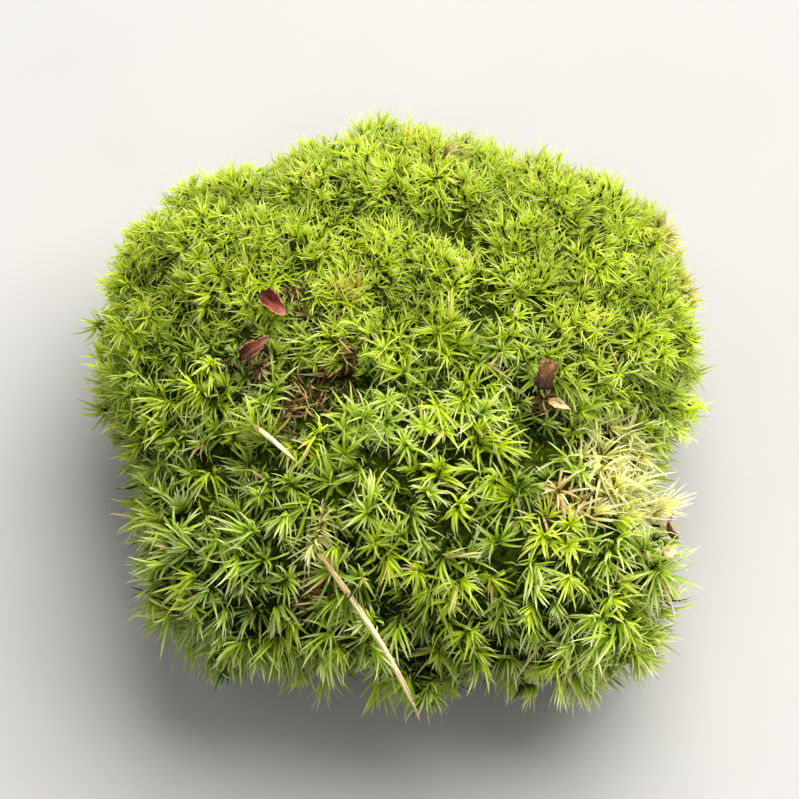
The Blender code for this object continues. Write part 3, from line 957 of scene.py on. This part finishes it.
def undergrowth(surface):
    """Old leaves that stand up from the old growth, and dead ones that lie loose in the gaps."""
    dice = np.random.default_rng(SEED + 4)
    directions = unit(dice.normal(size=(LITTER_TRIES, 3)))
    directions = directions[directions[:, 2] > 0]
    points = form_points(directions)
    in_litter = near_spots(points, LITTER) > dice.uniform(*LITTER_EDGE, len(points))
    litter, normals = points[in_litter], form_normals(directions[in_litter])
    kinds = dice.choice(list(LITTER_KINDS), len(litter), p=list(LITTER_KINDS.values()))
    depth = dice.uniform(*LITTER_DEPTH, len(litter))
    parts = [dead_leaves(litter, normals, 0.0, depth, kinds, dice.uniform(0, 1, len(litter)), dice)]
    crowd = 1 + UNDER_IN_GAPS * near_spots(points, GAPS) + UNDER_COARSE * coarseness(points)
    some = dice.uniform(0, 1, len(points)) < UNDER_LEAVES / len(points) * crowd
    under, normals = points[some], form_normals(directions[some])
    depth = old_depth(under) - dice.uniform(*UNDER_RISE, len(under))
    coarse = coarseness(under)
    kinds = np.where(dice.uniform(0, 1, len(under)) < between(UNDER_OLD, coarse), "old", "green")
    # Painted shade darkens the old leaves under coarse shoots.
    tones = dice.uniform(*UNDER_TONES, len(under)) - UNDER_PAINTED_SHADE * coarse
    parts.append(dead_leaves(under, normals, UNDER_STANDING, depth, kinds, tones, dice))
    add_piece("moss_undergrowth", join(parts), surface, "moss", "moss_cushion")


def old_growth(surface):
    """The mass of old stems and leaves that shows between the shoots, coloured dark as painted shade."""
    around, levels = OLD_GRID
    turns = round_turns(around)
    tilts = np.linspace(0.0, math.pi / 2, levels + 1)[:-1]
    grid = [(math.cos(tilt) * math.cos(turn), math.cos(tilt) * math.sin(turn), math.sin(tilt))
            for tilt in tilts for turn in turns]
    directions = np.array(grid + [(0, 0, 1)])
    points = form_points(directions)
    corners = points - directions * old_depth(points)[:, None]
    corners[:, 2] = np.maximum(corners[:, 2], PAD_HEIGHT)
    corners = np.vstack([corners, [0, 0, PAD_HEIGHT]])
    add_piece("moss_old_growth", (corners, grid_faces(around, levels)), surface, "moss", "moss_cushion")


# The humus mat.

def cad_surface(node_name):
    """A CAD node's surface in millimetres, for rays."""
    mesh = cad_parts[node_name].data
    corners = [corner.co / MM for corner in mesh.vertices]
    return BVHTree.FromPolygons(corners, [face.vertices for face in mesh.polygons])


def mat_reaches():
    """How far the CAD mat's wall is from the axis, in rings and in steps round."""
    surface = cad_surface("humus_pad")
    levels = np.linspace(MAT_MARGIN, PAD_HEIGHT - 2 * MAT_MARGIN, MAT_RINGS)
    reaches = np.empty((MAT_RINGS, MAT_AROUND))
    for number, turn in enumerate(round_turns(MAT_AROUND)):
        outward = Vector((math.cos(turn), math.sin(turn), 0))
        for ring, level in enumerate(levels):
            reaches[ring, number] = surface.ray_cast(Vector((0, 0, level)), outward)[3]
    return reaches


def on_mat(reaches, turns, heights, proud):
    """Points of the mat's wall at these bearings and heights, standing this far proud of it."""
    column = (turns / (2 * math.pi) % 1) * MAT_AROUND
    row = np.clip(heights / PAD_HEIGHT, 0, 1) * (MAT_RINGS - 1.001)
    left, below = np.floor(column).astype(int) % MAT_AROUND, np.floor(row).astype(int)
    beside, above = column % 1, row % 1
    right = (left + 1) % MAT_AROUND
    lower = reaches[below, left] * (1 - beside) + reaches[below, right] * beside
    upper = reaches[below + 1, left] * (1 - beside) + reaches[below + 1, right] * beside
    reach = lower * (1 - above) + upper * above + proud
    return np.stack([reach * np.cos(turns), reach * np.sin(turns), heights], axis=-1)


def mat_solid(reaches):
    """The mat's matted wall between its flat cut underside and its top."""
    turns = round_turns(MAT_AROUND)
    rings = []
    for share in MAT_CUT_RINGS:
        ring = on_mat(reaches, turns, np.zeros(MAT_AROUND), 0.0) * share
        ring[:, 2] = MAT_CUT_RELIEF * np.abs(noise_values(ring, 3.0))
        rings.append(ring)
    for height in np.linspace(0, PAD_HEIGHT - MAT_MARGIN, MAT_RINGS):
        ring = on_mat(reaches, turns, np.full(MAT_AROUND, height), 0.0)
        rough = lumps(ring, MAT_LUMPS) - MAT_SINK
        ring[:, :2] *= 1 + (rough / np.linalg.norm(ring[:, :2], axis=1))[:, None]
        rings.append(ring)
    corners = np.vstack(rings + [[(0, 0, PAD_HEIGHT - MAT_MARGIN)], [(0, 0, MAT_CUT_RELIEF)]])
    return corners, grid_faces(MAT_AROUND, len(rings))


def crumbs(places, sizes, dice):
    """Rounded crumbs of humus, each a lumpy ball."""
    ball = bmesh.new()
    bmesh.ops.create_icosphere(ball, subdivisions=2, radius=0.5)
    directions = np.array([corner.co[:] for corner in ball.verts])
    triangles = np.array([[corner.index for corner in face.verts] for face in ball.faces])
    ball.free()
    lumpy = dice.uniform(*CRUMB_LUMPS, (len(places), len(directions), 1))
    flatness = dice.uniform(*CRUMB_FLATNESS, (len(places), 1, 3))
    corners = places[:, None] + directions * lumpy * flatness * sizes[:, None, None]
    faces = triangles[None] + np.arange(len(places))[:, None, None] * len(directions)
    return corners.reshape(-1, 3), faces.reshape(-1, 3)


def mat_strands(reaches, dice, count, drop, wander, girth, proud, kind):
    """Dead stems that run down the mat's wall, or finer rhizoids that curl over it."""
    along = np.linspace(0, 1, MAT_STRAND_POINTS)
    each, stations = (count, 1), (count, MAT_STRAND_POINTS)
    start = any_turns(dice, each)
    top = dice.uniform(*STRAND_TOPS, each) ** 0.6 * (PAD_HEIGHT - MAT_MARGIN)
    turns = start + np.cumsum(dice.normal(0, wander, stations), axis=1)
    turns = turns + dice.normal(0, 3 * wander, each) * along
    heights = top - drop * dice.uniform(0.3, 1.0, each) * along
    heights += np.cumsum(dice.normal(0, 3 * wander, stations), axis=1)
    thick = girth * dice.uniform(0.6, 1.3, each) * (1 - STRAND_THINS * along)
    heights = np.clip(heights, thick + 0.05, PAD_HEIGHT - 0.2)
    lift = proud * dice.uniform(-0.3, 1.0, each)
    lift = lift + 1.2 * proud * dice.uniform(-0.4, 1, each) * along**3
    paths = on_mat(reaches, turns, heights, lift + thick)
    return tubes(paths, thick, palette_rows(np.full(count, kind), dice.uniform(0, 1, count)))


def mat_leaves(reaches, dice):
    """Brown and dark leaves that cling to the dead stems, thickest under the living cushion."""
    turns = any_turns(dice, MAT_LEAVES)
    heights = PAD_HEIGHT * dice.uniform(0.03, 1, MAT_LEAVES) ** 0.7 - 0.2
    start = on_mat(reaches, turns, heights, dice.uniform(-0.3, 0.5, MAT_LEAVES))
    away = np.stack([np.cos(turns), np.sin(turns), np.zeros(MAT_LEAVES)], axis=1)
    down = unit(-UP + 0.6 * dice.normal(size=(MAT_LEAVES, 3)))
    length = np.minimum(dice.uniform(*MAT_LEAF_LENGTH, MAT_LEAVES), np.maximum(heights, 1.0))
    kinds = np.where(dice.uniform(0, 1, MAT_LEAVES) < BROWN_SHARE, "brown", "old")
    return loose_blades({
        "start": start,
        "axis": unit(down - away * np.sum(down * away, axis=1)[:, None]),
        "outward": away,
        "tilt": dice.uniform(*MAT_LEAF_TILT, MAT_LEAVES),
        **spread_out(MAT_LEAF_SPREADS, MAT_LEAVES, dice),
        "length": length,
        "width": dice.uniform(*MAT_LEAF_WIDTH, MAT_LEAVES),
        "row": palette_rows(kinds, dice.uniform(0, 1, MAT_LEAVES)),
    })


def cut_fibres(reaches, dice):
    """Bits of stem in the cut underside, pressed flat in it."""
    each, stations = (CUT_FIBRES, 1), (CUT_FIBRES, CUT_FIBRE_POINTS)
    turns = any_turns(dice, CUT_FIBRES)
    middles = on_mat(reaches, turns, np.zeros(CUT_FIBRES), -1.5) * dice.uniform(0, 1, each) ** 0.5
    headings = any_turns(dice, each) + np.cumsum(dice.normal(0, 0.25, stations), axis=1)
    steps = np.stack([np.cos(headings), np.sin(headings), np.zeros(stations)], axis=-1)
    lengths = dice.uniform(*CUT_FIBRE_LENGTH, (CUT_FIBRES, 1, 1)) / CUT_FIBRE_POINTS
    girths = np.repeat(dice.uniform(*CUT_FIBRE_GIRTH, each), CUT_FIBRE_POINTS, axis=1)
    paths = middles[:, None] + np.cumsum(steps, axis=1) * lengths
    paths[:, :, 2] = girths + 0.02
    kinds = np.where(dice.uniform(0, 1, CUT_FIBRES) < 0.5, "brown", "stem")
    return tubes(paths, girths, palette_rows(kinds, dice.uniform(0, 1, CUT_FIBRES)))


def humus_mat(litter_surface):
    """The mat: its solid with crumbs, and its dead stems and leaves."""
    dice = np.random.default_rng(SEED + 1)
    reaches = mat_reaches()
    turns = any_turns(dice, CRUMBS)
    sizes = dice.uniform(*CRUMB_SIZES, CRUMBS) * dice.uniform(0.5, 1.0, CRUMBS)
    places = on_mat(reaches, turns, dice.uniform(1.0, PAD_HEIGHT - 1.5, CRUMBS), -0.25 * sizes)
    solid, balls = mat_solid(reaches), crumbs(places, sizes, dice)
    corners = np.vstack([solid[0], balls[0]])
    faces = np.vstack([solid[1], balls[1] + len(solid[0])])
    add_piece("humus_mat", (corners, faces), mottled_material("humus"), "humus", "humus_pad")
    parts = [mat_strands(reaches, dice, *strand) for strand in MAT_STRANDS]
    parts += [mat_leaves(reaches, dice), cut_fibres(reaches, dice)]
    add_piece("humus_fibres", join(parts), litter_surface, "humus", "humus_pad")


# Loose pieces.

def long_axis(corners):
    """A loose piece's middle and its own directions: along it, across it and up from it."""
    middle = (corners.max(axis=0) + corners.min(axis=0)) / 2
    along, across, upward = np.linalg.svd(corners - corners.mean(axis=0))[2]
    if upward[2] < 0:
        upward, across = -upward, -across
    return middle, along, across, upward


def needle_spine(name, points):
    """Points along the middle of a CAD needle, from its thick end on, and its girth at each."""
    corners = mesh_corners(name)
    along = long_axis(corners)[1]
    rings = corners[np.argsort(corners @ along)].reshape(-1, CAD_NEEDLE_SIDES, 3)
    centres = rings.mean(axis=1)
    girths = np.linalg.norm(rings - centres[:, None], axis=2).mean(axis=1)
    if girths[-1] > girths[0]:
        centres, girths = centres[::-1], girths[::-1]
    share = np.linspace(0, 1, len(centres))
    fine = np.linspace(0, 1, points)
    curves = [np.polyval(np.polyfit(share, centres[:, axis], NEEDLE_CURVE), fine) for axis in range(3)]
    return fine, np.stack(curves, axis=1), np.interp(fine, share, girths)


def dry_needle(name, surface):
    """A dry needle along the CAD needle's middle: grooved, and thinner towards its tip."""
    sides, points = NEEDLE_SIDES
    fine, path, girth = needle_spine(name, points)
    heading = unit(np.gradient(path, axis=0))
    across = sideways(heading)
    upper = np.cross(across, heading)
    turns = round_turns(sides)
    depth, width = NEEDLE_GROOVE
    groove = 1 - depth * np.exp(-((turns - math.pi / 2) / width) ** 2) + NEEDLE_OVAL * np.cos(2 * turns)
    girth = girth * (1 + NEEDLE_WAVER * np.random.default_rng(SEED + 2).normal(size=points))
    girth[[0, -1]] *= 0.5
    ring = np.cos(turns)[:, None] * across[:, None] + np.sin(turns)[:, None] * upper[:, None]
    shape = path[:, None] + girth[:, None, None] * groove[:, None] * ring
    whole = np.vstack([shape.reshape(-1, 3), path[-1], path[0]])
    uvs = np.empty((len(whole), 2))
    uvs[:-2, 0] = np.repeat(fine, sides)
    uvs[:-2, 1] = np.tile(np.abs(np.linspace(-1, 1, sides, endpoint=False)), points)
    uvs[-2:] = (1.0, 0.5), (0.0, 0.5)
    add_piece(name + "_dry", (whole, grid_faces(sides, points), uvs), surface, "dry_needle", name)


def scale_flake(name, facts, surface, slot):
    """A thin dry scale in place of a CAD flake: cupped, ribbed, with a worn edge and its tip curled."""
    dice = np.random.default_rng(SEED + 3 + list(FLAKES).index(name))
    corners = mesh_corners(name)
    middle, along, across, upward = long_axis(corners)
    length = np.ptp(corners @ along)
    half_width = np.ptp(corners @ across) / 2
    stations, lanes = FLAKE_GRID
    place = np.linspace(-1, 1, stations)[:, None]
    lane = np.linspace(-1, 1, lanes)[None, :]
    outline = (1 - np.abs(place) ** facts["blunt"]) ** 0.5 * (1 - facts["point"] * place)
    ragged = 1 + facts["ragged"] * np.cumsum(dice.normal(0, 0.3, (stations, 2)), axis=0)
    outline = np.minimum(outline * np.where(lane < 0, ragged[:, :1], ragged[:, 1:]), WIDEST_FLAKE)
    side = half_width * outline * lane
    cup = facts["cup"] * (outline * lane) ** 2 - 0.15 * half_width
    ribs = RIB_HEIGHT * np.cos(lane * math.pi * facts["ribs"]) * outline
    jagged = 1 - facts["ragged"] * np.abs(dice.normal(0, 0.35, (1, lanes))) * np.abs(place) ** 3
    curl = facts["curl"] * np.maximum(place, 0) ** 2
    grid = place * jagged * length / 2
    rise = cup + ribs + curl
    base = middle + grid[..., None] * along + side[..., None] * across + rise[..., None] * upward
    thin = 0.5 * facts["thick"] * (1 - np.abs(lane) ** 4) * (1 - np.abs(place) ** 8) + 0.01
    layers = [base + thin[..., None] * upward, base - thin[..., None] * upward]
    shape = np.concatenate([layer.reshape(-1, 3) for layer in layers])
    faces = flake_faces(np.arange(stations * lanes).reshape(stations, lanes))
    uvs = np.empty((stations, lanes, 2))
    uvs[..., 0], uvs[..., 1] = (place + 1) / 2, (lane + 1) / 2
    both_sides = np.concatenate([uvs.reshape(-1, 2)] * 2)
    add_piece(name + "_dry", (shape, faces, both_sides), surface, slot, name)


def flake_faces(numbers):
    """Triangles of a flake's upper and lower side, and of the rim between them."""
    count = numbers.size
    top = quads(numbers[:-1, :-1], numbers[1:, :-1], numbers[1:, 1:], numbers[:-1, 1:])
    rim = np.concatenate([numbers[0, :-1], numbers[:-1, -1], numbers[-1, :0:-1], numbers[:0:-1, 0]])
    after = np.roll(rim, -1)
    return np.concatenate([top, top[:, ::-1] + count, quads(rim, after, after + count, rim + count)])


def loose_pieces():
    """The dry needles and the scales and flakes that lie on the moss."""
    finishes = {name: streaked_material(name, *facts) for name, facts in FINISHES.items()}
    for name in NEEDLES:
        dry_needle(name, finishes["dry straw"])
    for name, (shape, finish, slot) in FLAKES.items():
        scale_flake(name, shape, finishes[finish], slot)


def grid_faces(around, levels):
    """Triangles of rings of corners, closed with fans to the top and the bottom corner, which follow them."""
    grid = np.arange(around * levels).reshape(levels, around)
    after = np.roll(grid, -1, axis=1)
    top = np.full(around, grid.size)
    fans = [(grid[-1], after[-1], top), (after[0], grid[0], top + 1)]
    wall = quads(grid[:-1], after[:-1], after[1:], grid[1:])
    return np.concatenate([wall] + [np.stack(fan, axis=1) for fan in fans])


# The floor, the lights and the camera.

def floor():
    bpy.ops.mesh.primitive_plane_add(size=FLOOR_SIZE)
    plane = bpy.context.object
    plane.name = "floor"
    plane.data.materials.append(mottled_material("floor"))


def aimed(data, place):
    """A lamp or camera at this place, looking at the clump."""
    made = bpy.data.objects.new(data.name, data)
    bpy.context.scene.collection.objects.link(made)
    made.location = place
    made.rotation_euler = (Vector(LOOK_AT) - place).to_track_quat("-Z", "Y").to_euler()
    return made


def area_light(name, place, size, power, colour):
    light = bpy.data.lights.new(name, "AREA")
    light.shape = "DISK"
    light.size = size
    light.energy = power
    light.color = colour
    aimed(light, Vector(place))


def lights():
    for name, facts in LIGHTS.items():
        area_light(name, *facts)
    world = bpy.data.worlds.new("studio")
    world.use_nodes = True
    world.node_tree.nodes["Background"].inputs[0].default_value = SKY_COLOUR
    world.node_tree.nodes["Background"].inputs[1].default_value = SKY_STRENGTH
    bpy.context.scene.world = world


def camera():
    elevation = math.radians(CAMERA_ELEVATION)
    back = Vector((0, -math.cos(elevation), math.sin(elevation)))
    data = bpy.data.cameras.new("camera")
    data.sensor_width = SENSOR_WIDTH
    data.lens = SENSOR_WIDTH * CAMERA_DISTANCE / FRAME_WIDTH
    bpy.context.scene.camera = aimed(data, Vector(LOOK_AT) + back * CAMERA_DISTANCE)


noise.seed_set(SEED)
leaf_surface = leaf_material()
moss_shoots(leaf_surface)
undergrowth(leaf_surface)
old_growth(mottled_material("old growth"))
humus_mat(leaf_surface)
loose_pieces()
floor()
lights()
camera()
bpy.context.scene.view_settings.view_transform = "Standard"
